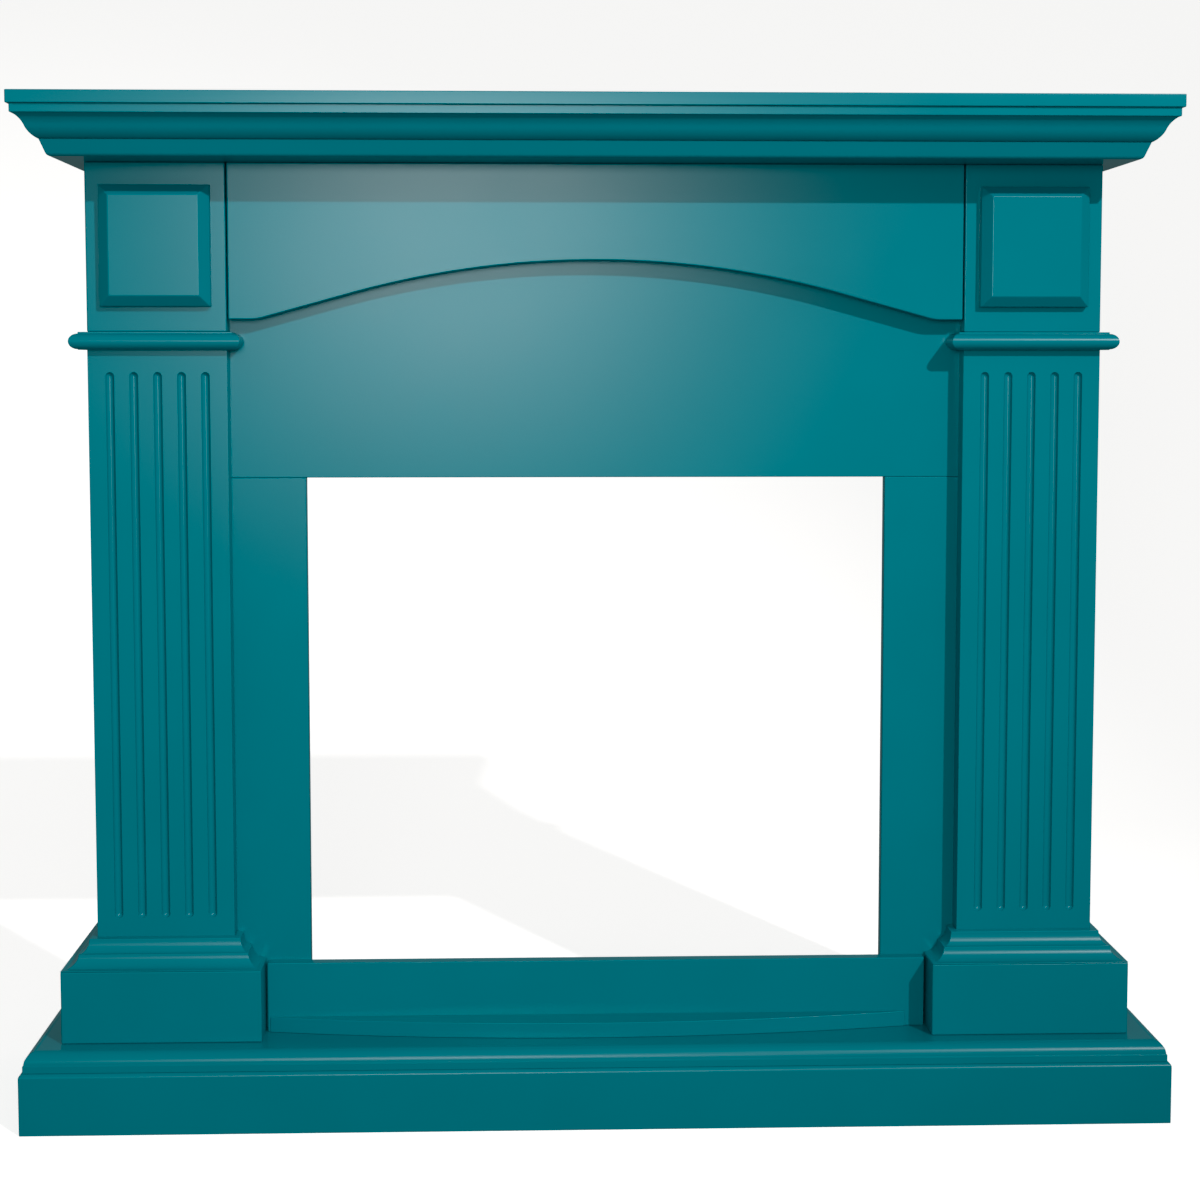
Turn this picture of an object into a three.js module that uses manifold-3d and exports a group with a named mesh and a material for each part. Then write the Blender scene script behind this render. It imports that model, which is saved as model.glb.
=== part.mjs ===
import * as THREE from 'three';
import { mergeVertices } from 'three/addons/utils/BufferGeometryUtils.js';
import Module from 'manifold-3d';

// Free-standing fireplace mantelpiece of lacquered fibreboard, in millimetres.
// +Z is up and the front faces -Y. The origin is on the floor, under the middle of the whole.

// Whole
const overallDepth = 360;
const glueLine = 0.1;

// Heights of the courses, from the floor up
const apronHeight = 66;
const hearthThickness = 21.5;
const plinthHeight = 77.5;
const baseMouldingHeight = 31.3;
const shaftHeight = 626.3;
const neckHeight = 18.8;
const capitalHeight = 176.8;
const soffitThickness = 17;
const crownHeight = 32.9;
const shelfThickness = 13.2;

// Legs
const clearBetweenLegs = 780;
const legWidth = 146;
const legThickness = 25.3;
const sidePanelThickness = 18;

// Flutes of the shafts
const fluteCount = 5;
const fluteRadius = 4.5;
const fluteDepth = 4.2;
const fluteSideMargin = 18.5;
const fluteFootMargin = 19.8;
const fluteHeadMargin = 23.3;
const fluteSegments = 12;

// Raised blocks on the capitals
const blockSideMargin = 15.4;
const blockTopMargin = 23.9;
const blockBottomMargin = 26.6;
const blockEdge = 8.5;
const blockBevel = 10.6;
const blockThickness = 18;

// Neck plates
const neckOverhang = 17;
const neckInnerOverhang = 15.1;
const neckLowerFillet = 0.6;
const neckUpperFillet = 1.8;
const neckNoseDepth = 8.7;

// Plinths and the mouldings on them
const plinthOverhangFront = 31;
const plinthOverhangInner = 31;
const plinthOverhangOuter = 35;
const plinthBoard = 18;
const mouldingFoot = 1;
const mouldingLedgeFall = 1.3;
const lowerCoveDepth = 15;
const upperCoveDepth = 9;

// Hearth
const hearthMarginFront = 38.5;
const hearthMarginSide = 39;
const hearthSetback = 4;
const hearthQuirk = 1;
const hearthQuirkDrop = 0.5;
const hearthRound = 13.5;
const apronBoard = 18;
const apronRound = 5;

// Fire opening with its panels
const openingWidth = 621.4;
const openingHeight = 523.7;
const panelThickness = 16;
const railHeight = 75.5;
const railThickness = 16;
const railEndGap = 2.5;
const fenderThickness = 16.5;
const fenderBow = 34.7;
const fenderTip = 1.5;
const fenderLeftGap = 5;
const fenderRightGap = 23;

// Arched frieze
const friezeSideGap = 1.6;
const friezeAboveNeck = 13.2;
const archMargin = 29.4;
const archRise = 62.5;
const archFlankAngle = 15.4;
const archShoulderRound = 45;

// Cornice
const soffitOverhangFront = 64.4;
const soffitOverhangSide = 20.5;
const soffitEdgeProjection = 11.4;
const soffitEdgeHeading = 68;
const soffitEdgeRound = 5;
const crownFootProjection = 12.2;
const crownFootThickness = 18;
const cymaFlatHeading = 27;
const cymaSteepHeading = 68;
const crownFillet = 8.7;
const crownQuirk = 1.2;
const shelfOverhang = 3.4;

// Lacquer
const lacquerColour = 0x0a7c83;
const lacquerRoughness = 0.42;

// Steps in a curve of a moulding and in a wide arch
const curveSteps = 6;
const archSteps = 24;

// Points of a solid closer than this are one point
const mergeDistance = 0.001;

// Levels of the courses
const hearthBase = apronHeight;
const hearthTop = hearthBase + hearthThickness;
const plinthTop = hearthTop + plinthHeight;
const shaftFoot = plinthTop + baseMouldingHeight;
const neckBase = shaftFoot + shaftHeight;
const neckTop = neckBase + neckHeight;
const soffitBase = neckTop + capitalHeight;
const crownBase = soffitBase + soffitThickness;
const crownTop = crownBase + crownHeight;
const shelfTop = crownTop + shelfThickness;
const openingBase = hearthTop + railHeight;
const openingTop = openingBase + openingHeight;

// Lines across the width, from the middle outwards
const legInner = clearBetweenLegs / 2;
const legOuter = legInner + legWidth;
const legMiddle = legInner + legWidth / 2;
const plinthInner = legInner - plinthOverhangInner;
const plinthOuter = legOuter + plinthOverhangOuter;
const apronSide = plinthOuter + hearthMarginSide;
const sidePanelInner = legOuter - sidePanelThickness;
const soffitSide = legOuter + soffitOverhangSide;

// The cyma has two arcs of one radius: the lower turns steep, the upper turns flat again
const cymaHeight = crownHeight - crownFillet;
const cymaRadius = cymaHeight / (2 * (cosine(cymaFlatHeading) - cosine(cymaSteepHeading)));
const cymaProjection = 2 * cymaRadius * (sine(cymaSteepHeading) - sine(cymaFlatHeading));
const crownProjection = crownFootProjection + cymaProjection + crownQuirk;

// Planes from front to back
const back = overallDepth / 2;
const shelfFront = -overallDepth / 2;
const legFace = shelfFront + shelfOverhang + crownProjection + soffitOverhangFront;
const soffitFront = legFace - soffitOverhangFront;
const panelFace = legFace + legThickness;
const railFace = panelFace - railThickness;
const plinthFace = legFace - plinthOverhangFront;
const apronFace = plinthFace - hearthMarginFront;

const wasm = await Module();
wasm.setup();

function sine(degrees) {
  return Math.sin(THREE.MathUtils.degToRad(degrees));
}

function cosine(degrees) {
  return Math.cos(THREE.MathUtils.degToRad(degrees));
}

// Points of an elliptic arc that starts at a point and turns from one heading to another, in degrees.
// A heading of 0 points outwards and 90 points up. The start itself is left out.
function turn([x, y], [radiusX, radiusY], fromHeading, toHeading, steps = curveSteps) {
  const side = Math.sign(toHeading - fromHeading);
  const points = [];
  for (let step = 1; step <= steps; step += 1) {
    const heading = fromHeading + ((toHeading - fromHeading) * step) / steps;
    const moveX = side * radiusX * (sine(heading) - sine(fromHeading));
    const moveY = side * radiusY * (cosine(fromHeading) - cosine(heading));
    points.push([x + moveX, y + moveY]);
  }
  return points;
}

function shapeOf(points) {
  return new THREE.Shape(points.map(([x, y]) => new THREE.Vector2(x, y)));
}

// A length of moulding with a flat back: its profile faces +X and it runs from the origin towards -Y.
// Each end is cut to a slope: how far it reaches on for each millimetre of projection, 0 for a square end.
function mouldingLength(profile, length, startSlope, endSlope) {
  const geometry = new THREE.ExtrudeGeometry(shapeOf(profile), { depth: length, bevelEnabled: false });
  const position = geometry.attributes.position;
  for (let index = 0; index < position.count; index += 1) {
    const projection = position.getX(index);
    const run = position.getZ(index);
    const reach = run < length / 2 ? -startSlope * projection : endSlope * projection;
    position.setZ(index, run + reach);
  }
  return geometry.rotateX(Math.PI / 2);
}

// A board lying flat, whose left, right and front edges follow a profile of [projection, height] points,
// from its underside up. The back edge is straight, or is profiled too.
function profiledBoard([left, right], [front, rear], profile, rearProfiled = false) {
  const outline = shapeOf([[left, front], [right, front], [right, rear], [left, rear]]);
  const steps = profile.length - 1;
  const geometry = new THREE.ExtrudeGeometry(outline, { depth: steps, steps, bevelEnabled: false });
  const position = geometry.attributes.position;
  for (let index = 0; index < position.count; index += 1) {
    const [projection, height] = profile[Math.round(position.getZ(index))];
    const x = position.getX(index);
    const y = position.getY(index);
    const sideways = x > (left + right) / 2 ? projection : -projection;
    const rearwards = rearProfiled ? projection : 0;
    const lengthways = y < (front + rear) / 2 ? -projection : rearwards;
    position.setXYZ(index, x + sideways, y + lengthways, height);
  }
  return geometry;
}

// Closed solid of a geometry, for cutting
function toSolid(geometry) {
  const bare = geometry.clone();
  bare.deleteAttribute('normal');
  bare.deleteAttribute('uv');
  const merged = mergeVertices(bare, mergeDistance);
  const corners = merged.index.array;
  const triangles = [];
  for (let first = 0; first < corners.length; first += 3) {
    const [a, b, c] = corners.slice(first, first + 3);
    if (a !== b && b !== c && c !== a) {
      triangles.push(a, b, c);
    }
  }
  const mesh = new wasm.Mesh({
    numProp: 3,
    vertProperties: new Float32Array(merged.attributes.position.array),
    triVerts: new Uint32Array(triangles),
  });
  return new wasm.Manifold(mesh);
}

function toGeometry(solid) {
  const mesh = solid.getMesh();
  const geometry = new THREE.BufferGeometry();
  geometry.setAttribute('position', new THREE.BufferAttribute(new Float32Array(mesh.vertProperties), 3));
  geometry.setIndex(new THREE.BufferAttribute(new Uint32Array(mesh.triVerts), 1));
  geometry.computeVertexNormals();
  return geometry;
}

// The round-nosed cutter of one flute, along +Z from its lowest point
function fluteCutter(length) {
  const lowerEnd = turn([0, 0], [fluteRadius, fluteRadius], 0, 90, fluteSegments / 4);
  const upperEnd = turn([fluteRadius, length - fluteRadius], [fluteRadius, fluteRadius], 90, 180, fluteSegments / 4);
  upperEnd[upperEnd.length - 1][0] = 0;
  const outline = [[0, 0], ...lowerEnd, [fluteRadius, length - fluteRadius], ...upperEnd];
  const points = outline.map(([x, y]) => new THREE.Vector2(x, y));
  return new THREE.LatheGeometry(points, fluteSegments).rotateX(Math.PI / 2);
}

// Shaft board, with its front at y = 0 and its foot on z = 0. The flutes keep to the stretch that shows.
function shaftGeometry(height, hiddenHeight) {
  const thickness = legThickness - glueLine;
  const board = new THREE.BoxGeometry(legWidth, thickness, height);
  board.translate(0, thickness / 2, height / 2);
  let solid = toSolid(board);
  const firstFlute = -legWidth / 2 + fluteSideMargin + fluteRadius;
  const pitch = (-2 * firstFlute) / (fluteCount - 1);
  const fluteBase = hiddenHeight + fluteFootMargin;
  const fluteLength = height - fluteHeadMargin - fluteBase;
  for (let flute = 0; flute < fluteCount; flute += 1) {
    const cutter = fluteCutter(fluteLength);
    cutter.translate(firstFlute + flute * pitch, fluteDepth - fluteRadius, fluteBase);
    solid = solid.subtract(toSolid(cutter));
  }
  return toGeometry(solid);
}

// Profiles run anticlockwise as [projection, height] points, from the back of the underside

function boardProfile(thickness, height) {
  return [[-thickness, 0], [0, 0], [0, height], [-thickness, height]];
}

function apronProfile() {
  const arrisStart = [0, apronHeight - apronRound];
  const round = turn(arrisStart, [apronRound, apronRound], 90, 180);
  return [[-apronBoard, 0], [0, 0], arrisStart, ...round, [-apronBoard, apronHeight]];
}

function baseMouldingProfile(height) {
  const coveHeight = (height - mouldingFoot - mouldingLedgeFall) / 2;
  const lowerCove = turn([plinthOverhangFront, mouldingFoot], [lowerCoveDepth, coveHeight], 180, 90);
  const arris = lowerCove[lowerCove.length - 1];
  const upperCove = turn(arris, [upperCoveDepth, coveHeight], 180, 90);
  const foot = [[0, 0], [plinthOverhangFront, 0], [plinthOverhangFront, mouldingFoot]];
  return [...foot, ...lowerCove, ...upperCove, [0, height]];
}

function crownProfile(height) {
  const rear = crownFootProjection - crownFootThickness;
  const lift = height - crownHeight;
  const foot = [crownFootProjection, 0];
  const lower = turn([foot[0], lift], [cymaRadius, cymaRadius], cymaFlatHeading, cymaSteepHeading);
  const middle = lower[lower.length - 1];
  const upper = turn(middle, [cymaRadius, cymaRadius], cymaSteepHeading, cymaFlatHeading);
  const filletFoot = [crownProjection, height - crownFillet];
  return [[rear, 0], foot, ...lower, ...upper, filletFoot, [crownProjection, height], [rear, height]];
}

// Edges of the neck plate, from its underside up: a nose between two narrow fillets
function neckEdge(height) {
  const filletProjection = neckOverhang - neckNoseDepth;
  const noseHeight = height - neckLowerFillet - neckUpperFillet;
  const noseBase = [filletProjection, neckLowerFillet];
  const nose = turn(noseBase, [neckNoseDepth, noseHeight / 2], 0, 180, 2 * curveSteps);
  return [[filletProjection, 0], noseBase, ...nose, [filletProjection, height]];
}

// Edges of the soffit board: a round under a steep slope
function soffitEdge(height) {
  const roundHeight = soffitEdgeRound * (1 - cosine(soffitEdgeHeading));
  const slopeRun = ((height - roundHeight) * cosine(soffitEdgeHeading)) / sine(soffitEdgeHeading);
  const roundStart = soffitEdgeProjection - slopeRun - soffitEdgeRound * sine(soffitEdgeHeading);
  const round = turn([roundStart, 0], [soffitEdgeRound, soffitEdgeRound], 0, soffitEdgeHeading);
  return [[roundStart, 0], ...round, [soffitEdgeProjection, height]];
}

// Edges of the hearth board: a square foot, a small quirk and a quarter round
function hearthEdge(height) {
  const roundFoot = [-hearthQuirk, height - hearthRound];
  const round = turn(roundFoot, [hearthRound, hearthRound], 90, 180, 2 * curveSteps);
  return [[0, 0], [0, height - hearthRound - hearthQuirkDrop], roundFoot, ...round];
}

function lacquer() {
  return new THREE.MeshStandardMaterial({ color: lacquerColour, roughness: lacquerRoughness, metalness: 0 });
}

function addPart(parent, name, geometry) {
  const mesh = new THREE.Mesh(geometry, lacquer());
  mesh.name = name;
  parent.add(mesh);
  return mesh;
}

// A plain board that fills the given limits
function addBoard(parent, name, [left, right], [front, rear], [base, top]) {
  const geometry = new THREE.BoxGeometry(right - left, rear - front, top - base);
  const mesh = addPart(parent, name, geometry);
  mesh.position.set((left + right) / 2, (front + rear) / 2, (base + top) / 2);
  return mesh;
}

// Limits in x of a piece that lies between two distances from the middle, on one side
function across(side, near, far) {
  return side > 0 ? [near, far] : [-far, -near];
}

// Three lengths of one moulding, mitred round the front of a block: front, left and right.
// line gives the block's left, right and front, and where the left and right lengths end at the rear.
// stretch widens the profile on the left or right, where the block stands out further.
function addWrap(parent, names, profile, line, base, stretch = { left: 1, right: 1 }) {
  const width = line.right - line.left - 2 * glueLine;
  const frontLength = mouldingLength(profile, width, stretch.right, stretch.left);
  const front = addPart(parent, names.front, frontLength);
  front.position.set(line.right - glueLine, line.front, base);
  front.rotation.z = -Math.PI / 2;

  const rightProfile = profile.map(([projection, height]) => [projection * stretch.right, height]);
  const rightRun = line.rightRear - line.front;
  const right = addPart(parent, names.right, mouldingLength(rightProfile, rightRun, 0, 1 / stretch.right));
  right.position.set(line.right, line.rightRear, base);

  const leftProfile = profile.map(([projection, height]) => [projection * stretch.left, height]);
  const leftRun = line.leftRear - line.front;
  const left = addPart(parent, names.left, mouldingLength(leftProfile, leftRun, 1 / stretch.left, 0));
  left.position.set(line.left, line.front, base);
  left.rotation.z = Math.PI;
}

// The line round one leg, which the plinth and the base moulding follow. The inner lengths end at the panels.
function legLine(side, inner, outer, front) {
  const innerRear = panelFace - glueLine;
  if (side > 0) {
    return { left: inner, right: outer, front, leftRear: innerRear, rightRear: back };
  }
  return { left: -outer, right: -inner, front, leftRear: back, rightRear: innerRear };
}

function legNames(side, prefix) {
  const leftName = side > 0 ? 'inner' : 'outer';
  const rightName = side > 0 ? 'outer' : 'inner';
  return { left: `${prefix}_${leftName}`, right: `${prefix}_${rightName}`, front: `${prefix}_front` };
}

function hearthGroup() {
  const hearth = new THREE.Group();
  const names = { left: 'apron_left', right: 'apron_right', front: 'apron_front' };
  const apronLine = { left: -apronSide, right: apronSide, front: apronFace, leftRear: back, rightRear: back };
  addWrap(hearth, names, apronProfile(), apronLine, 0);

  const boardSide = apronSide - hearthSetback;
  const boardFront = apronFace + hearthSetback;
  const edge = hearthEdge(hearthThickness - glueLine);
  const board = addPart(hearth, 'hearth_board', profiledBoard([-boardSide, boardSide], [boardFront, back], edge));
  board.position.z = hearthBase + glueLine;
  return hearth;
}

function surroundGroup() {
  const surround = new THREE.Group();
  const panelSide = sidePanelInner - glueLine;
  const panelDepth = [panelFace, panelFace + panelThickness];
  addBoard(surround, 'header_panel', [-panelSide, panelSide], panelDepth, [openingTop + glueLine, soffitBase]);

  const slipHeight = [hearthTop + glueLine, openingTop];
  addBoard(surround, 'left_slip', across(-1, openingWidth / 2, panelSide), panelDepth, slipHeight);
  addBoard(surround, 'right_slip', across(1, openingWidth / 2, panelSide), panelDepth, slipHeight);

  const railSide = plinthInner - railEndGap;
  const railDepth = [railFace, panelFace - glueLine];
  addBoard(surround, 'lower_rail', [-railSide, railSide], railDepth, [hearthTop + glueLine, openingBase]);

  const fender = addPart(surround, 'fender_board', fenderGeometry());
  fender.position.set((fenderLeftGap - fenderRightGap) / 2, railFace - glueLine, hearthTop + glueLine);

  const frieze = addPart(surround, 'frieze', friezeGeometry());
  frieze.position.set(0, panelFace - glueLine, neckTop + friezeAboveNeck);
  return surround;
}

// Bowed board with its straight back on y = 0, which doesn't quite fill the width between the plinths
function fenderGeometry() {
  const side = plinthInner - (fenderLeftGap + fenderRightGap) / 2;
  const radius = (side * side + fenderBow * fenderBow) / (2 * fenderBow);
  const centre = radius - fenderBow - fenderTip;
  const halfAngle = Math.asin(side / radius);
  const outline = new THREE.Shape();
  outline.moveTo(side, -fenderTip);
  outline.lineTo(side, 0);
  outline.lineTo(-side, 0);
  outline.lineTo(-side, -fenderTip);
  outline.absarc(0, centre, radius, -Math.PI / 2 - halfAngle, -Math.PI / 2 + halfAngle, false);
  const depth = fenderThickness - glueLine;
  return new THREE.ExtrudeGeometry(outline, { depth, bevelEnabled: false, curveSegments: archSteps });
}

// Board with an arch in its lower edge, standing on z = 0 with its rear on y = 0. The arch is a wide arc that
// runs on in straight flanks, which turn into the level shoulders in a round. The flanks, drawn on upwards,
// would meet over the middle at flankTop.
function friezeGeometry() {
  const side = legInner - friezeSideGap;
  const height = capitalHeight - friezeAboveNeck;
  const corner = side - archMargin;
  const slope = THREE.MathUtils.degToRad(archFlankAngle);
  const flankTop = corner * Math.tan(slope);
  const radius = (flankTop - archRise) / (Math.sin(slope) * Math.tan(slope) - 1 + Math.cos(slope));
  const shoulder = corner + archShoulderRound * Math.tan(slope / 2);
  const outline = new THREE.Shape();
  outline.moveTo(shoulder, 0);
  outline.lineTo(side, 0);
  outline.lineTo(side, height);
  outline.lineTo(-side, height);
  outline.lineTo(-side, 0);
  outline.lineTo(-shoulder, 0);
  outline.absarc(-shoulder, archShoulderRound, archShoulderRound, -Math.PI / 2, -Math.PI / 2 + slope, false);
  outline.absarc(0, archRise - radius, radius, Math.PI / 2 + slope, Math.PI / 2 - slope, true);
  outline.absarc(shoulder, archShoulderRound, archShoulderRound, -Math.PI / 2 - slope, -Math.PI / 2, false);
  const depth = legThickness - glueLine;
  const geometry = new THREE.ExtrudeGeometry(outline, { depth, bevelEnabled: false, curveSegments: archSteps });
  return geometry.rotateX(Math.PI / 2);
}

// Raised block with its back on y = 0, its underside on z = 0 and its bevels facing -Y
function blockGeometry(height) {
  const side = legWidth / 2 - blockSideMargin;
  const edge = [[0, 0], [0, blockEdge], [-blockBevel, blockThickness - glueLine]];
  return profiledBoard([-side, side], [0, height], edge, true).rotateX(Math.PI / 2);
}

function legGroup(side) {
  const leg = new THREE.Group();
  const prefix = side > 0 ? 'right' : 'left';
  const legDepth = [legFace, panelFace - glueLine];

  const shaftBase = hearthTop + glueLine;
  const shaft = addPart(leg, `${prefix}_shaft_board`, shaftGeometry(neckBase - shaftBase, shaftFoot - shaftBase));
  shaft.position.set(side * legMiddle, legFace, shaftBase);

  const capitalLevels = [neckTop + glueLine, soffitBase];
  addBoard(leg, `${prefix}_capital_board`, across(side, legInner, legOuter), legDepth, capitalLevels);

  const blockHeight = capitalHeight - blockTopMargin - blockBottomMargin;
  const block = addPart(leg, `${prefix}_raised_block`, blockGeometry(blockHeight));
  block.position.set(side * legMiddle, legFace - glueLine, neckTop + blockBottomMargin);

  const plateEdge = neckEdge(neckHeight - glueLine);
  const plateInner = legInner - (neckInnerOverhang - neckOverhang);
  const plate = profiledBoard(across(side, plateInner, legOuter), legDepth, plateEdge);
  addPart(leg, `${prefix}_neck_plate`, plate).position.z = neckBase + glueLine;

  const returnProfile = [[0, 0], ...plateEdge, [0, neckHeight - glueLine]];
  const returnRun = back - panelFace - glueLine;
  const neckReturn = addPart(leg, `${prefix}_neck_return`, mouldingLength(returnProfile, returnRun, 0, 0));
  const returnStart = side > 0 ? back : panelFace + glueLine;
  neckReturn.position.set(side * (legOuter + glueLine), returnStart, neckBase + glueLine);
  neckReturn.rotation.z = side > 0 ? 0 : Math.PI;

  const sideDepth = [panelFace, back];
  const sideLevels = [hearthTop + glueLine, soffitBase];
  addBoard(leg, `${prefix}_side_panel`, across(side, sidePanelInner, legOuter), sideDepth, sideLevels);

  const plinthLine = legLine(side, plinthInner, plinthOuter, plinthFace);
  const plinthProfile = boardProfile(plinthBoard, plinthHeight - glueLine);
  addWrap(leg, legNames(side, `${prefix}_plinth`), plinthProfile, plinthLine, hearthTop + glueLine);

  const mouldingLine = legLine(side, legInner - glueLine, legOuter + glueLine, legFace - glueLine);
  const outerStretch = (plinthOverhangOuter - glueLine) / plinthOverhangFront;
  const innerStretch = (plinthOverhangInner - glueLine) / plinthOverhangFront;
  const stretch = {
    left: side > 0 ? innerStretch : outerStretch,
    right: side > 0 ? outerStretch : innerStretch,
  };
  const mouldingProfile = baseMouldingProfile(baseMouldingHeight - glueLine);
  const mouldingNames = legNames(side, `${prefix}_base_moulding`);
  addWrap(leg, mouldingNames, mouldingProfile, mouldingLine, plinthTop + glueLine, stretch);
  return leg;
}

function corniceGroup() {
  const cornice = new THREE.Group();
  const edge = soffitEdge(soffitThickness - glueLine);
  const soffit = profiledBoard([-soffitSide, soffitSide], [soffitFront, back], edge);
  addPart(cornice, 'soffit_board', soffit).position.z = soffitBase + glueLine;

  const names = { left: 'crown_left', right: 'crown_right', front: 'crown_front' };
  const crownLine = { left: -soffitSide, right: soffitSide, front: soffitFront, leftRear: back, rightRear: back };
  addWrap(cornice, names, crownProfile(crownHeight - glueLine), crownLine, crownBase + glueLine);

  const shelfSide = soffitSide + crownProjection + shelfOverhang;
  addBoard(cornice, 'shelf', [-shelfSide, shelfSide], [shelfFront, back], [crownTop + glueLine, shelfTop]);
  return cornice;
}

const mantelpiece = new THREE.Group();
mantelpiece.add(hearthGroup());
mantelpiece.add(surroundGroup());
mantelpiece.add(legGroup(-1));
mantelpiece.add(legGroup(1));
mantelpiece.add(corniceGroup());

export default mantelpiece;
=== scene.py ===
"""Looks of a free-standing fireplace mantelpiece: fibreboard pieces sprayed in one teal satin lacquer.

Sizes are in millimetres where a name ends in _MM or a profile is given, and in metres elsewhere.
"""

import math

import bmesh
import bpy
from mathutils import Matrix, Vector


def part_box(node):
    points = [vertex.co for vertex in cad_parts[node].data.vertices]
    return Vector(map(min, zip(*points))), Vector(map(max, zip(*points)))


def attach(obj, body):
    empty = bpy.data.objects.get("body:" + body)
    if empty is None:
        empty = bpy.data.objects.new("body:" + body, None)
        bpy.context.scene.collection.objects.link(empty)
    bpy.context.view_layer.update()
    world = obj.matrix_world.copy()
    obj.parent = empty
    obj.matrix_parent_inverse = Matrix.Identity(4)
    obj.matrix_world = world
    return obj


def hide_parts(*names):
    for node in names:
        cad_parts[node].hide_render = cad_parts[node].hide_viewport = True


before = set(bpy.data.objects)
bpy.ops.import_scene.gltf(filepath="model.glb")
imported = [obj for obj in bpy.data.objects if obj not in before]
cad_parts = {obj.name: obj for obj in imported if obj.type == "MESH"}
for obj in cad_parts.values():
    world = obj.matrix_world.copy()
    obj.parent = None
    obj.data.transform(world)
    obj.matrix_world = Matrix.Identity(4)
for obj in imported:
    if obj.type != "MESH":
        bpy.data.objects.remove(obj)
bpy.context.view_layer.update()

MM = 0.001

# Easing of the arrises, sanded before the lacquer wherever two faces meet at more than EASED_DEGREES. Faces
# that meet at less than SMOOTHED_DEGREES are shaded as one curve.
BOARD_EASE_MM = 0.9
JOINT_EASE_MM = 1.4
FENDER_EASE_MM = 0.7
MOULDING_EASE_MM = 0.5
HEARTH_EASE_MM = 0.3
EASED_DEGREES = 30
SMOOTHED_DEGREES = 35
EASE_STEPS = 3

# Steps in a quarter turn of a moulding, round a full circle for the wide arches, and in the arch's shoulders
QUARTER_STEPS = 12
CIRCLE_STEPS = 720
SHOULDER_STEPS = 6

# Points closer than this are one point, and faces closer in angle than this are one face
MERGE_MM = 0.01
COPLANAR_DEGREES = 0.1

# An edge this close to the arch's corner is the corner's edge
CORNER_MM = 0.5

# How far a cutter reaches past the piece, and half the length of a cutter that goes right through it
REACH = 0.05
THROUGH = 0.1

# Profiles of the mouldings
NECK_LOWER_FILLET_MM = 0.6
NECK_UPPER_FILLET_MM = 1.8
NECK_NOSE_DEPTH_MM = 8.7
MOULDING_FOOT_MM = 1
MOULDING_LEDGE_FALL_MM = 1.3
LOWER_COVE_MM = 15
UPPER_COVE_MM = 9
HEARTH_QUIRK_MM = 1
HEARTH_QUIRK_DROP_MM = 0.5
HEARTH_ROUND_MM = 13.5
APRON_BOARD_MM = 18
APRON_ROUND_MM = 5
SOFFIT_HEADING = 68
SOFFIT_ROUND_MM = 5
CROWN_FOOT_MM = 12.2
CROWN_FOOT_THICKNESS_MM = 18
CYMA_FLAT_HEADING = 27
CYMA_STEEP_HEADING = 68
CROWN_FILLET_MM = 8.7
CROWN_QUIRK_MM = 1.2
CROWN_LIP_MM = 0.2
SOFFIT_EDGE_MM = 11.4

# Arches, flutes and raised blocks
ARCH_MARGIN_MM = 29.4
ARCH_RISE_MM = 62.5
ARCH_FLANK_ANGLE = 15.4
ARCH_SHOULDER_ROUND_MM = 45
FENDER_TIP_MM = 1.5
FLUTE_COUNT = 5
FLUTE_RADIUS_MM = 4.5
FLUTE_DEPTH_MM = 4.2
FLUTE_SIDE_MARGIN_MM = 18.5
FLUTE_FOOT_MARGIN_MM = 19.8
FLUTE_HEAD_MARGIN_MM = 23.3
BLOCK_EDGE_MM = 8.5
BLOCK_BEVEL_MM = 10.6


def select_only(piece):
    bpy.ops.object.select_all(action="DESELECT")
    piece.select_set(True)
    bpy.context.view_layer.objects.active = piece


def place_in_mesh(piece):
    """The piece's object goes to the origin, and its place into its mesh."""
    select_only(piece)
    bpy.ops.object.transform_apply(location=True, rotation=True, scale=True)


def block(name, low, high):
    """A rectangular block between two corners."""
    low = Vector(low)
    high = Vector(high)
    bpy.ops.object.select_all(action="DESELECT")
    bpy.ops.mesh.primitive_cube_add(size=1, location=(low + high) / 2)
    piece = bpy.context.object
    piece.name = name
    piece.scale = high - low
    place_in_mesh(piece)
    return piece


def disc(radius, place, turned):
    """A cylinder with steps fine enough to trim a wide arc."""
    bpy.ops.object.select_all(action="DESELECT")
    bpy.ops.mesh.primitive_cylinder_add(
        vertices=CIRCLE_STEPS, radius=radius, depth=2 * THROUGH, location=place, rotation=turned
    )
    piece = bpy.context.object
    place_in_mesh(piece)
    return piece


def cut(piece, cutter, operation="DIFFERENCE"):
    """Cuts the piece with another one, which is used up."""
    select_only(piece)
    change = piece.modifiers.new("cut", "BOOLEAN")
    change.operation = operation
    change.solver = "EXACT"
    change.object = cutter
    bpy.ops.object.modifier_apply(modifier=change.name)
    bpy.data.objects.remove(cutter)


def tidy_faces(piece):
    """Merges double points, joins coplanar faces and points the normals out."""
    select_only(piece)
    bpy.ops.object.mode_set(mode="EDIT")
    bpy.ops.mesh.select_all(action="SELECT")
    bpy.ops.mesh.remove_doubles(threshold=MERGE_MM * MM)
    bpy.ops.mesh.dissolve_limited(angle_limit=math.radians(COPLANAR_DEGREES))
    bpy.ops.mesh.select_all(action="SELECT")
    bpy.ops.mesh.normals_make_consistent(inside=False)
    bpy.ops.object.mode_set(mode="OBJECT")


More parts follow.
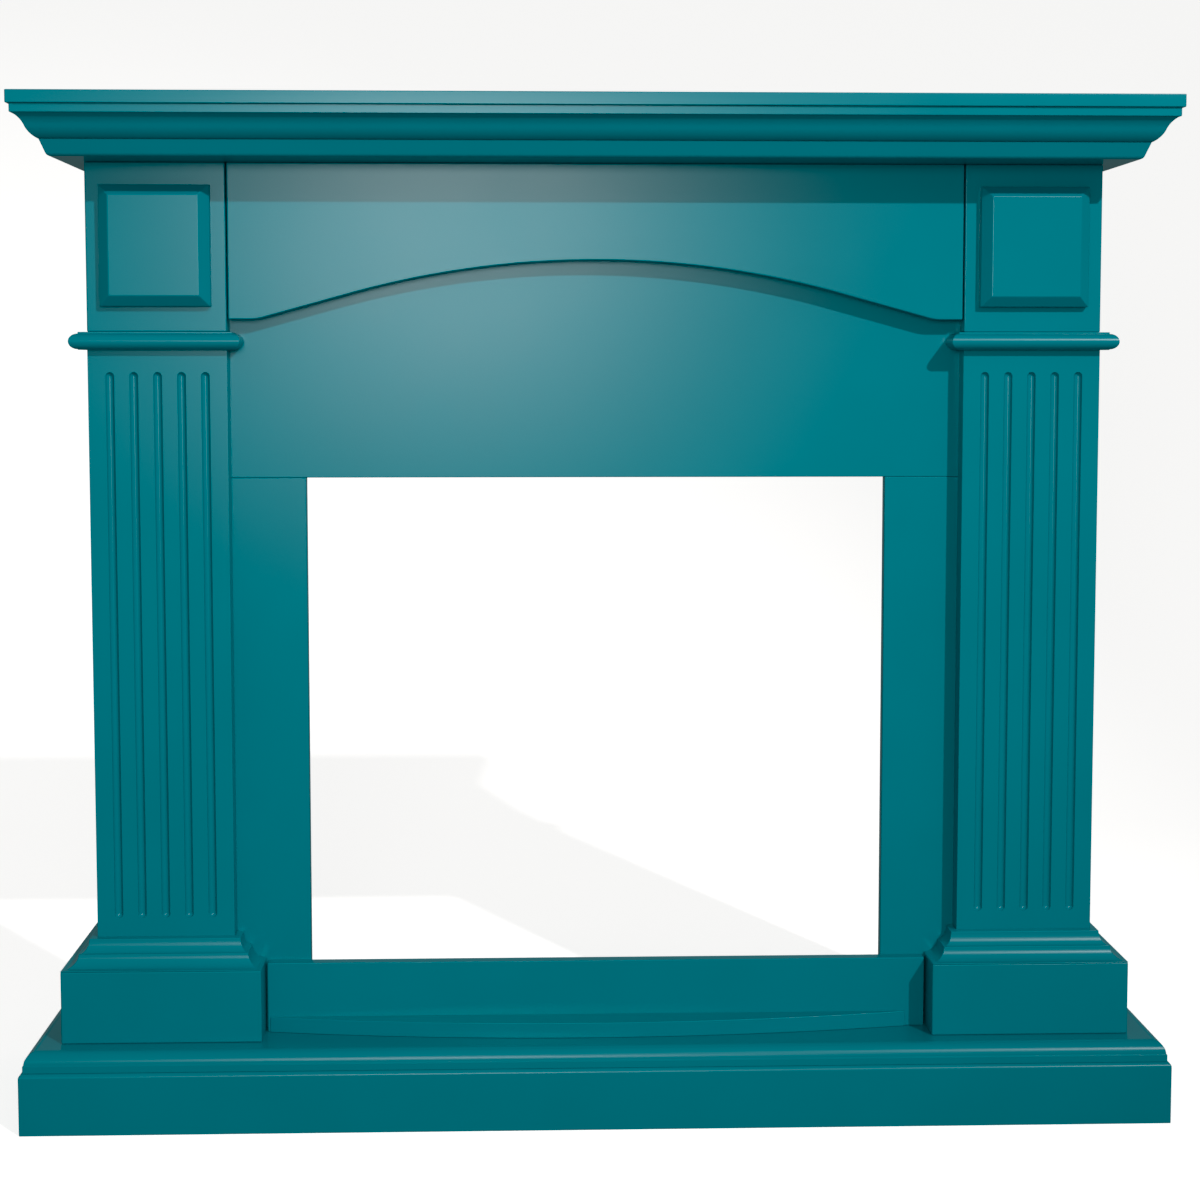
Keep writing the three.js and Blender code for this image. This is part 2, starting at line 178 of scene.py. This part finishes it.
def ease(piece, width_mm):
    """Rounds the arrises and shades the piece so that its flat faces stay flat."""
    select_only(piece)
    rounding = piece.modifiers.new("ease", "BEVEL")
    rounding.width = width_mm * MM
    rounding.segments = EASE_STEPS
    rounding.limit_method = "ANGLE"
    rounding.angle_limit = math.radians(EASED_DEGREES)
    bpy.ops.object.modifier_apply(modifier=rounding.name)
    bpy.ops.object.shade_smooth_by_angle(angle=math.radians(SMOOTHED_DEGREES))
    weighting = piece.modifiers.new("flat", "WEIGHTED_NORMAL")
    weighting.keep_sharp = True
    bpy.ops.object.modifier_apply(modifier=weighting.name)


def turn(start, radii, from_heading, to_heading, steps=QUARTER_STEPS):
    """Points of an elliptic arc from a start that is left out. Heading 0 points outwards and 90 points up."""
    side = math.copysign(1, to_heading - from_heading)
    first = math.radians(from_heading)
    points = []
    for step in range(1, steps + 1):
        heading = first + math.radians(to_heading - from_heading) * step / steps
        move_x = side * radii[0] * (math.sin(heading) - math.sin(first))
        move_z = side * radii[1] * (math.cos(first) - math.cos(heading))
        points.append((start[0] + move_x, start[1] + move_z))
    return points


def edged_slab(name, low, high, profile, stretch=(1, 1), rear_grows=0):
    """A slab built up from its underside, layer by layer, so that its left, front and right edges follow a
    profile of (projection, height) points. stretch multiplies the projections on the left and on the right,
    and with rear_grows at 1 the rear edge follows the profile too."""
    width = high[0] - low[0]
    depth = high[1] - low[1]
    grow_x = (stretch[0] + stretch[1]) * MM
    grow_y = (1 + rear_grows) * MM
    centre_x = low[0] + width * stretch[0] / (stretch[0] + stretch[1])
    centre_y = high[1] - depth * rear_grows / (1 + rear_grows)

    bpy.ops.object.select_all(action="DESELECT")
    bpy.ops.mesh.primitive_plane_add(size=1, location=(low[0] + width / 2, low[1] + depth / 2, low[2]))
    piece = bpy.context.object
    piece.name = name
    piece.scale = (width, depth, 1)
    place_in_mesh(piece)

    bpy.ops.object.mode_set(mode="EDIT")
    bpy.ops.mesh.select_all(action="SELECT")
    now = (0, 0)
    for layer, point in enumerate(profile):
        if layer > 0:
            rise = (point[1] - now[1]) * MM
            bpy.ops.mesh.extrude_region_move(TRANSFORM_OT_translate={"value": (0, 0, rise)})
        wider = (width + point[0] * grow_x) / (width + now[0] * grow_x)
        deeper = (depth + point[0] * grow_y) / (depth + now[0] * grow_y)
        bpy.ops.transform.resize(value=(wider, deeper, 1), center_override=(centre_x, centre_y, low[2]))
        now = point
    bpy.ops.object.mode_set(mode="OBJECT")
    return piece


def finish_piece(piece, material, *nodes):
    """Gives the piece its finish, hangs it under the root body and hides the solids that it stands for."""
    piece.data.materials.clear()
    piece.data.materials.append(material)
    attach(piece, "root")
    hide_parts(*nodes)


def board(name, material, ease_mm=BOARD_EASE_MM):
    """A plain board with eased arrises, in the place of the solid of the same name."""
    low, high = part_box(name)
    piece = block(f"{name}_dressed", low, high)
    ease(piece, ease_mm)
    finish_piece(piece, material, name)


def span(*nodes):
    """The box of several solids together."""
    boxes = [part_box(node) for node in nodes]
    low = Vector([min(box[0][axis] for box in boxes) for axis in range(3)])
    high = Vector([max(box[1][axis] for box in boxes) for axis in range(3)])
    return low, high


# The hearth


def hearth_board(material):
    low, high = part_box("hearth_board")
    height = (high[2] - low[2]) / MM
    round_foot = (-HEARTH_QUIRK_MM, height - HEARTH_ROUND_MM)
    profile = [(0, 0), (0, round_foot[1] - HEARTH_QUIRK_DROP_MM), round_foot]
    profile += turn(round_foot, (HEARTH_ROUND_MM, HEARTH_ROUND_MM), 90, 180)
    piece = edged_slab("hearth_board_dressed", low, high, profile)
    tidy_faces(piece)
    ease(piece, HEARTH_EASE_MM)
    finish_piece(piece, material, "hearth_board")


def apron(material):
    """The mitred apron under the hearth, its joints filled before spraying."""
    low, high = span("apron_front", "apron_left", "apron_right")
    height = (high[2] - low[2]) / MM
    shoulder = (0, height - APRON_ROUND_MM)
    profile = [(0, 0), shoulder] + turn(shoulder, (APRON_ROUND_MM, APRON_ROUND_MM), 90, 180)
    piece = edged_slab("apron_dressed", low, high, profile)
    board_width = APRON_BOARD_MM * MM
    inner_low = (low[0] + board_width, low[1] + board_width, low[2] - board_width)
    inner_high = (high[0] - board_width, high[1] + board_width, high[2] + board_width)
    cut(piece, block("hollow", inner_low, inner_high))
    tidy_faces(piece)
    ease(piece, BOARD_EASE_MM)
    finish_piece(piece, material, "apron_front", "apron_left", "apron_right")


def fender_board(material):
    """The flat bowed board: a block trimmed to a wide circle."""
    low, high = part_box("fender_board")
    half = (high[0] - low[0]) / 2
    bow = high[1] - low[1] - FENDER_TIP_MM * MM
    radius = (half**2 + bow**2) / (2 * bow)
    piece = block("fender_board_dressed", low, high)
    middle = ((low[0] + high[0]) / 2, low[1] + radius, (low[2] + high[2]) / 2)
    cut(piece, disc(radius, middle, (0, 0, math.pi / CIRCLE_STEPS)), "INTERSECT")
    tidy_faces(piece)
    ease(piece, FENDER_EASE_MM)
    finish_piece(piece, material, "fender_board")


# The surround between the legs


def round_shoulders(piece, corner, level, tangent):
    """Rounds the two edges where the arch's flanks meet its level shoulders."""
    bpy.ops.object.mode_set(mode="EDIT")
    bpy.ops.mesh.select_mode(type="EDGE")
    bpy.ops.mesh.select_all(action="DESELECT")
    mesh = bmesh.from_edit_mesh(piece.data)
    for edge in mesh.edges:
        off_corner = [max(abs(abs(end.co.x) - corner), abs(end.co.z - level)) for end in edge.verts]
        edge.select_set(max(off_corner) < CORNER_MM * MM)
    bmesh.update_edit_mesh(piece.data)
    bpy.ops.mesh.bevel(offset=tangent, segments=SHOULDER_STEPS, affect="EDGES")
    bpy.ops.mesh.select_mode(type="VERT")
    bpy.ops.object.mode_set(mode="OBJECT")


def frieze(material):
    """The board over the opening: a block with an arch cut out of its lower edge. A wide arc runs on in
    straight flanks, and a round turns each flank into the level shoulder."""
    low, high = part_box("frieze")
    middle_y = (low[1] + high[1]) / 2
    corner = high[0] - ARCH_MARGIN_MM * MM
    rise = ARCH_RISE_MM * MM
    angle = math.radians(ARCH_FLANK_ANGLE)
    radius = (corner * math.tan(angle) - rise) / (math.sin(angle) * math.tan(angle) - 1 + math.cos(angle))
    piece = block("frieze_dressed", low, high)
    cut(piece, disc(radius, (0, middle_y, low[2] + rise - radius), (math.pi / 2, 0, 0)))

    flank_start = radius * math.sin(angle)
    flank_level = low[2] + rise - radius * (1 - math.cos(angle))
    for way in (-1, 1):
        ends = sorted((0, way * corner))
        flank = block("flank", (ends[0], -THROUGH, -corner / 4), (ends[1], THROUGH, 0))
        flank.rotation_euler = (0, way * angle, 0)
        flank.location = (way * flank_start, middle_y, flank_level)
        place_in_mesh(flank)
        cut(piece, flank)
    tidy_faces(piece)
    round_shoulders(piece, corner, low[2], ARCH_SHOULDER_ROUND_MM * MM * math.tan(angle / 2))
    ease(piece, JOINT_EASE_MM)
    finish_piece(piece, material, "frieze")


# The legs


def flute_cutter(low_z, high_z):
    """A round-nosed cutter: a ball pulled apart at its waist, with a straight wall bridged in between."""
    radius = FLUTE_RADIUS_MM * MM
    bpy.ops.object.select_all(action="DESELECT")
    bpy.ops.mesh.primitive_uv_sphere_add(
        segments=4 * QUARTER_STEPS, ring_count=2 * QUARTER_STEPS, radius=radius, location=(0, 0, 0)
    )
    cutter = bpy.context.object
    bpy.ops.object.mode_set(mode="EDIT")
    mesh = bmesh.from_edit_mesh(cutter.data)
    for face in mesh.faces:
        face.select_set(face.calc_center_median().z > 0)
    bmesh.update_edit_mesh(cutter.data)
    bpy.ops.mesh.split()
    bpy.ops.transform.translate(value=(0, 0, high_z - low_z - 2 * radius))
    bpy.ops.mesh.select_all(action="DESELECT")
    bpy.ops.mesh.select_mode(type="EDGE")
    bpy.ops.mesh.select_non_manifold()
    bpy.ops.mesh.bridge_edge_loops()
    bpy.ops.mesh.select_mode(type="VERT")
    bpy.ops.mesh.select_all(action="SELECT")
    bpy.ops.transform.translate(value=(0, 0, low_z + radius))
    bpy.ops.mesh.normals_make_consistent(inside=False)
    bpy.ops.object.mode_set(mode="OBJECT")
    return cutter


def shaft_board(side, material):
    """A leg's tall board with its round-nosed flutes."""
    node = f"{side}_shaft_board"
    low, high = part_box(node)
    shows_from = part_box(f"{side}_base_moulding_front")[1][2]
    piece = block(f"{node}_dressed", low, high)
    first = low[0] + (FLUTE_SIDE_MARGIN_MM + FLUTE_RADIUS_MM) * MM
    last = high[0] - (FLUTE_SIDE_MARGIN_MM + FLUTE_RADIUS_MM) * MM
    axis_y = low[1] + (FLUTE_DEPTH_MM - FLUTE_RADIUS_MM) * MM
    flute_foot = shows_from + FLUTE_FOOT_MARGIN_MM * MM
    flute_head = high[2] - FLUTE_HEAD_MARGIN_MM * MM
    for flute in range(FLUTE_COUNT):
        cutter = flute_cutter(flute_foot, flute_head)
        cutter.location = (first + (last - first) * flute / (FLUTE_COUNT - 1), axis_y, 0)
        place_in_mesh(cutter)
        cut(piece, cutter)
    tidy_faces(piece)
    ease(piece, MOULDING_EASE_MM)
    finish_piece(piece, material, node)


def raised_block(side, material):
    node = f"{side}_raised_block"
    low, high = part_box(node)
    depth = (high[1] - low[1]) / MM
    profile = [(0, 0), (0, BLOCK_EDGE_MM), (-BLOCK_BEVEL_MM, depth)]
    flat_high = (high[0], high[2] - low[2], 0)
    piece = edged_slab(f"{node}_dressed", (low[0], 0, 0), flat_high, profile, rear_grows=1)
    piece.rotation_euler = (math.pi / 2, 0, 0)
    piece.location = (0, high[1], low[2])
    place_in_mesh(piece)
    tidy_faces(piece)
    ease(piece, BOARD_EASE_MM)
    finish_piece(piece, material, node)


def neck(side, material):
    """The neck plate and its return along the side, as one run of half-round nosing."""
    plate_low, plate_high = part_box(f"{side}_neck_plate")
    return_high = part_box(f"{side}_neck_return")[1]
    panel_low, panel_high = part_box(f"{side}_side_panel")
    height = (plate_high[2] - plate_low[2]) / MM
    overhang = (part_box(f"{side}_shaft_board")[0][1] - plate_low[1]) / MM
    fillet = overhang - NECK_NOSE_DEPTH_MM
    nose_base = (fillet, NECK_LOWER_FILLET_MM)
    nose_height = height - NECK_LOWER_FILLET_MM - NECK_UPPER_FILLET_MM
    radii = (NECK_NOSE_DEPTH_MM, nose_height / 2)
    profile = [(fillet, 0), nose_base]
    profile += turn(nose_base, radii, 0, 180, 2 * QUARTER_STEPS)
    profile += [(fillet, height)]
    low = (plate_low[0] + overhang * MM, plate_low[1] + overhang * MM, plate_low[2])
    high = (plate_high[0] - overhang * MM, return_high[1], plate_high[2])
    piece = edged_slab(f"{side}_neck_dressed", low, high, profile)
    left = plate_low[0] - REACH if side == "right" else panel_low[0]
    right = panel_high[0] if side == "right" else plate_high[0] + REACH
    hollow_low = (left, plate_high[1], plate_low[2] - REACH)
    hollow_high = (right, return_high[1] + REACH, plate_high[2] + REACH)
    cut(piece, block("hollow", hollow_low, hollow_high))
    tidy_faces(piece)
    ease(piece, MOULDING_EASE_MM)
    finish_piece(piece, material, f"{side}_neck_plate", f"{side}_neck_return")


def hollow_for_leg(piece, side, low, high, wall_mm):
    """Clears the leg's own space out of a band that goes round it, and ends the inner run at the panels.
    wall_mm holds the band's width on the left, in front and on the right."""
    wall = wall_mm * MM
    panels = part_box(f"{side}_plinth_inner")[1][1]
    inside_low = (low[0] + wall[0], low[1] + wall[1], low[2] - REACH)
    inside_high = (high[0] - wall[2], high[1] + REACH, high[2] + REACH)
    cut(piece, block("hollow", inside_low, inside_high))
    left = low[0] - REACH if side == "right" else inside_low[0]
    right = inside_high[0] if side == "right" else high[0] + REACH
    cut(piece, block("hollow", (left, panels, inside_low[2]), (right, inside_high[1], inside_high[2])))


def plinth(side, material):
    nodes = [f"{side}_plinth_{part}" for part in ("front", "outer", "inner")]
    low, high = span(*nodes)
    front_low, front_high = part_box(nodes[0])
    wall = (front_high[1] - front_low[1]) / MM
    piece = block(f"{side}_plinth_dressed", low, high)
    hollow_for_leg(piece, side, low, high, Vector((wall, wall, wall)))
    tidy_faces(piece)
    ease(piece, JOINT_EASE_MM)
    finish_piece(piece, material, *nodes)


def base_moulding(side, material):
    """The two coves that step out from the leg's foot to the plinth."""
    nodes = [f"{side}_base_moulding_{part}" for part in ("front", "outer", "inner")]
    low, high = span(*nodes)
    front_low, front_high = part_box(nodes[0])
    outer_low, outer_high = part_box(nodes[1])
    inner_low, inner_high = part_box(nodes[2])
    projection = (front_high[1] - front_low[1]) / MM
    height = (high[2] - low[2]) / MM
    outer = (outer_high[0] - outer_low[0]) / MM
    inner = (inner_high[0] - inner_low[0]) / MM
    cove_height = (height - MOULDING_FOOT_MM - MOULDING_LEDGE_FALL_MM) / 2
    foot = (projection, MOULDING_FOOT_MM)
    lower_cove = turn(foot, (LOWER_COVE_MM, cove_height), 180, 90)
    upper_cove = turn(lower_cove[-1], (UPPER_COVE_MM, cove_height), 180, 90)
    profile = [(projection, 0), foot] + lower_cove + upper_cove + [(0, height)]
    walls = Vector((inner, projection, outer)) if side == "right" else Vector((outer, projection, inner))
    block_low = (low[0] + walls[0] * MM, low[1] + projection * MM, low[2])
    block_high = (high[0] - walls[2] * MM, high[1], high[2])
    stretch = (walls[0] / projection, walls[2] / projection)
    piece = edged_slab(f"{side}_base_moulding_dressed", block_low, block_high, profile, stretch)
    hollow_for_leg(piece, side, low, high, walls)
    tidy_faces(piece)
    ease(piece, MOULDING_EASE_MM)
    finish_piece(piece, material, *nodes)


# The cornice


def soffit_board(material):
    low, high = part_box("soffit_board")
    height = (high[2] - low[2]) / MM
    slope = math.radians(SOFFIT_HEADING)
    round_height = SOFFIT_ROUND_MM * (1 - math.cos(slope))
    slope_run = (height - round_height) / math.tan(slope)
    round_start = SOFFIT_EDGE_MM - slope_run - SOFFIT_ROUND_MM * math.sin(slope)
    profile = [(round_start, 0)]
    profile += turn(profile[0], (SOFFIT_ROUND_MM, SOFFIT_ROUND_MM), 0, SOFFIT_HEADING)
    profile += [(SOFFIT_EDGE_MM, height)]
    edge = SOFFIT_EDGE_MM * MM
    base_low = (low[0] + edge, low[1] + edge, low[2])
    base_high = (high[0] - edge, high[1], high[2])
    piece = edged_slab("soffit_board_dressed", base_low, base_high, profile)
    tidy_faces(piece)
    ease(piece, MOULDING_EASE_MM)
    finish_piece(piece, material, "soffit_board")


def crown(material):
    """The cyma moulding under the shelf, mitred round three sides, its joints filled before spraying."""
    nodes = ("crown_front", "crown_left", "crown_right")
    low, high = span(*nodes)
    height = (high[2] - low[2]) / MM
    cosines = math.cos(math.radians(CYMA_FLAT_HEADING)) - math.cos(math.radians(CYMA_STEEP_HEADING))
    sines = math.sin(math.radians(CYMA_STEEP_HEADING)) - math.sin(math.radians(CYMA_FLAT_HEADING))
    radius = (height - CROWN_FILLET_MM) / (2 * cosines)
    fillet = CROWN_FOOT_MM + 2 * radius * sines + CROWN_QUIRK_MM
    foot = (CROWN_FOOT_MM, 0)
    lower = turn(foot, (radius, radius), CYMA_FLAT_HEADING, CYMA_STEEP_HEADING)
    upper = turn(lower[-1], (radius, radius), CYMA_STEEP_HEADING, CYMA_FLAT_HEADING)
    top = upper[-1][1]
    lip = (upper[-1][0], top - CROWN_LIP_MM)
    profile = [foot] + lower + upper[:-1] + [lip, (fillet, top), (fillet, height)]
    base_low = (low[0] + fillet * MM, low[1] + fillet * MM, low[2])
    base_high = (high[0] - fillet * MM, high[1], high[2])
    piece = edged_slab("crown_dressed", base_low, base_high, profile)
    rear = (CROWN_FOOT_MM - CROWN_FOOT_THICKNESS_MM) * MM
    hollow_low = (base_low[0] - rear, base_low[1] - rear, low[2] - REACH)
    hollow_high = (base_high[0] + rear, high[1] + REACH, high[2] + REACH)
    cut(piece, block("hollow", hollow_low, hollow_high))
    tidy_faces(piece)
    ease(piece, MOULDING_EASE_MM)
    finish_piece(piece, material, *nodes)


# Finishes

# Clouds in the film of lacquer, and the cells and depth of its orange peel
CLOUD_MM = 120
PEEL_CELL_MM = 2.5
PEEL_DEPTH_MM = 0.02
THICK_FILM_COLOUR = "007b88"
THIN_FILM_COLOUR = "00818f"
THICK_FILM_ROUGHNESS = 0.28
THIN_FILM_ROUGHNESS = 0.32
PEEL_STRENGTH = 0.25
LACQUER_IOR = 1.5
LACQUER_SPECULAR = 0.42


def linear(code):
    """Linear colour of an sRGB hex value."""
    channels = [int(code[start : start + 2], 16) / 255 for start in (0, 2, 4)]
    return [c / 12.92 if c <= 0.04045 else ((c + 0.055) / 1.055) ** 2.4 for c in channels] + [1]


def add(tree, kind, values=None, links=None, **settings):
    """Adds a node with its settings, its input values and its links."""
    node = tree.nodes.new(kind)
    for name, value in settings.items():
        setattr(node, name, value)
    for socket, value in (values or {}).items():
        node.inputs[socket].default_value = value
    for socket, source in (links or {}).items():
        tree.links.new(source, node.inputs[socket])
    return node


def satin_lacquer_on_fibreboard():
    """Medium density fibreboard, sealed and sprayed with a teal satin lacquer: an even colour, a soft wide
    sheen, and a fine orange peel that shows only in the highlights."""
    material = bpy.data.materials.new("satin_lacquer_on_fibreboard")
    material.use_nodes = True
    tree = material.node_tree
    shader = tree.nodes["Principled BSDF"]
    place = add(tree, "ShaderNodeTexCoord").outputs["Object"]

    # Uneven film build, in clouds a hand wide
    clouds = add(tree, "ShaderNodeTexNoise", {"Scale": 1 / (CLOUD_MM * MM), "Detail": 3}, {"Vector": place})
    tint = add(tree, "ShaderNodeMix", data_type="RGBA")
    tree.links.new(clouds.outputs["Fac"], tint.inputs["Factor"])
    tint.inputs["A"].default_value = linear(THICK_FILM_COLOUR)
    tint.inputs["B"].default_value = linear(THIN_FILM_COLOUR)
    tree.links.new(tint.outputs["Result"], shader.inputs["Base Color"])

    # Orange peel of the sprayed film
    peel = add(tree, "ShaderNodeTexNoise", {"Scale": 1 / (PEEL_CELL_MM * MM), "Detail": 1}, {"Vector": place})
    depth = {"Strength": PEEL_STRENGTH, "Distance": PEEL_DEPTH_MM * MM}
    bump = add(tree, "ShaderNodeBump", depth, {"Height": peel.outputs["Fac"]})
    tree.links.new(bump.outputs["Normal"], shader.inputs["Normal"])

    # Satin: between half matt and half gloss, a little drier where the film is thin
    limits = {"To Min": THICK_FILM_ROUGHNESS, "To Max": THIN_FILM_ROUGHNESS}
    sheen = add(tree, "ShaderNodeMapRange", limits, {"Value": clouds.outputs["Fac"]})
    tree.links.new(sheen.outputs["Result"], shader.inputs["Roughness"])
    shader.inputs["IOR"].default_value = LACQUER_IOR
    shader.inputs["Specular IOR Level"].default_value = LACQUER_SPECULAR
    return material


# Stage

FLOOR_WIDTH = 20
FLOOR_DEPTH = 10
BACKDROP_HEIGHT = 7
COVE_RADIUS = 2.5
COVE_STEPS = 24

# The lamps: where they stand, what they point at, their size and their power
KEY_PLACE = (2.7, -5.0, 4.0)
KEY_TARGET = (0.1, 0, 1.15)
KEY_CONE_DEGREES = 30
KEY_RADIUS = 0.06
KEY_WATTS = 940
SHEEN_PLACE = (-0.24, -3.075, 1.13)
SHEEN_TARGET = (-0.1, -0.015, 0.9)
SHEEN_SIZE = 0.8
SHEEN_WATTS = 22

# The fill rises from its lower to its upper strength between two slopes of its direction
FILL_BELOW = 0.14
FILL_ABOVE = 0.26
FILL_SLOPE = 0.4

# Red that the photograph's camera doesn't record
MISSING_RED = 0.027


def aim(thing, target):
    """Points a lamp at a place."""
    direction = Vector(target) - thing.location
    thing.rotation_euler = direction.to_track_quat("-Z", "Y").to_euler()


def lamp_at(name, lamp, place, target, power):
    lamp.energy = power
    thing = bpy.data.objects.new(name, lamp)
    thing.location = place
    bpy.context.collection.objects.link(thing)
    aim(thing, target)


def pale_paper():
    """The studio's pale paper, which glows a little so that it stays light round the object."""
    material = bpy.data.materials.new("pale_paper")
    material.use_nodes = True
    shader = material.node_tree.nodes["Principled BSDF"]
    shader.inputs["Base Color"].default_value = linear("f2f0ec")
    shader.inputs["Roughness"].default_value = 0.9
    shader.inputs["Specular IOR Level"].default_value = 0
    shader.inputs["Emission Color"].default_value = linear("ffffff")
    shader.inputs["Emission Strength"].default_value = 0.7
    return material


def sweep():
    """A pale floor that curves up into a backdrop."""
    bpy.ops.object.select_all(action="DESELECT")
    bpy.ops.mesh.primitive_plane_add(size=1, location=(0, -1, 0))
    floor = bpy.context.object
    floor.name = "floor"
    floor.scale = (FLOOR_WIDTH, FLOOR_DEPTH, 1)
    place_in_mesh(floor)
    bpy.ops.object.mode_set(mode="EDIT")
    mesh = bmesh.from_edit_mesh(floor.data)
    for edge in mesh.edges:
        edge.select_set(all(corner.co.y > 0 for corner in edge.verts))
    bmesh.update_edit_mesh(floor.data)
    bpy.ops.mesh.extrude_region_move(TRANSFORM_OT_translate={"value": (0, 0, BACKDROP_HEIGHT)})
    bpy.ops.object.mode_set(mode="OBJECT")
    rounding = floor.modifiers.new("cove", "BEVEL")
    rounding.width = COVE_RADIUS
    rounding.segments = COVE_STEPS
    bpy.ops.object.modifier_apply(modifier=rounding.name)
    bpy.ops.object.shade_smooth()
    floor.data.materials.append(pale_paper())
    # The paper throws no light back, so the undersides stay as dark as in the photograph
    floor.visible_diffuse = False
    floor.visible_glossy = False


def fill_from_all_round():
    """A white world that is stronger from above."""
    world = bpy.data.worlds.new("studio")
    world.use_nodes = True
    tree = world.node_tree
    fill = tree.nodes["Background"]
    fill.inputs["Color"].default_value = linear("ffffff")
    direction = add(tree, "ShaderNodeTexCoord").outputs["Generated"]
    height = add(tree, "ShaderNodeSeparateXYZ", links={"Vector": direction}).outputs["Z"]
    limits = {"From Min": -FILL_SLOPE, "From Max": FILL_SLOPE, "To Min": FILL_BELOW, "To Max": FILL_ABOVE}
    rising = add(tree, "ShaderNodeMapRange", limits, {"Value": height})
    tree.links.new(rising.outputs["Result"], fill.inputs["Strength"])
    bpy.context.scene.world = world


def studio():
    """A focused key light from the upper right, a round one beside the camera, whose soft reflection is the
    sheen on the frieze, and a fill from all round that is stronger from above."""
    sweep()
    key = bpy.data.lights.new("key", "SPOT")
    key.spot_size = math.radians(KEY_CONE_DEGREES)
    key.spot_blend = 1
    key.shadow_soft_size = KEY_RADIUS
    lamp_at("key", key, KEY_PLACE, KEY_TARGET, KEY_WATTS)

    beside_camera = bpy.data.lights.new("beside_camera", "AREA")
    beside_camera.shape = "DISK"
    beside_camera.size = SHEEN_SIZE
    lamp_at("beside_camera", beside_camera, SHEEN_PLACE, SHEEN_TARGET, SHEEN_WATTS)
    fill_from_all_round()

    # The photograph's camera records the lacquer's teal, which lies outside its colour space, with no red
    view = bpy.context.scene.view_settings
    view.view_transform = "Standard"
    view.use_curve_mapping = True
    view.curve_mapping.black_level = (MISSING_RED, 0, 0)
    view.curve_mapping.update()


# The photograph's camera, solved from its straight edges: focal length and optical centre in its pixels
PHOTO_SIDE = 1200
FOCAL_PIXELS = 2405.28
CENTRE_PIXELS = (607.02, 567.65)
CAMERA_PLACE_MM = (-83.6, -2630.6, 809.7)
CAMERA_DOWN = 0.0852
CAMERA_RIGHT = 0.0367


def camera():
    lens = bpy.data.cameras.new("camera")
    lens.sensor_width = 36
    lens.lens = lens.sensor_width * FOCAL_PIXELS / PHOTO_SIDE
    lens.shift_x = (PHOTO_SIDE / 2 - CENTRE_PIXELS[0]) / PHOTO_SIDE
    lens.shift_y = (CENTRE_PIXELS[1] - PHOTO_SIDE / 2) / PHOTO_SIDE
    view = bpy.data.objects.new("camera", lens)
    view.location = Vector(CAMERA_PLACE_MM) * MM
    view.rotation_euler = (math.pi / 2 - CAMERA_DOWN, 0, -CAMERA_RIGHT)
    bpy.context.collection.objects.link(view)
    bpy.context.scene.camera = view


camera()
studio()
lacquer = satin_lacquer_on_fibreboard()

hearth_board(lacquer)
apron(lacquer)
fender_board(lacquer)
for name in ("header_panel", "left_slip", "right_slip", "lower_rail"):
    board(name, lacquer)
frieze(lacquer)
for side in ("left", "right"):
    board(f"{side}_capital_board", lacquer, JOINT_EASE_MM)
    board(f"{side}_side_panel", lacquer)
    shaft_board(side, lacquer)
    raised_block(side, lacquer)
    neck(side, lacquer)
    plinth(side, lacquer)
    base_moulding(side, lacquer)
soffit_board(lacquer)
crown(lacquer)
board("shelf", lacquer)
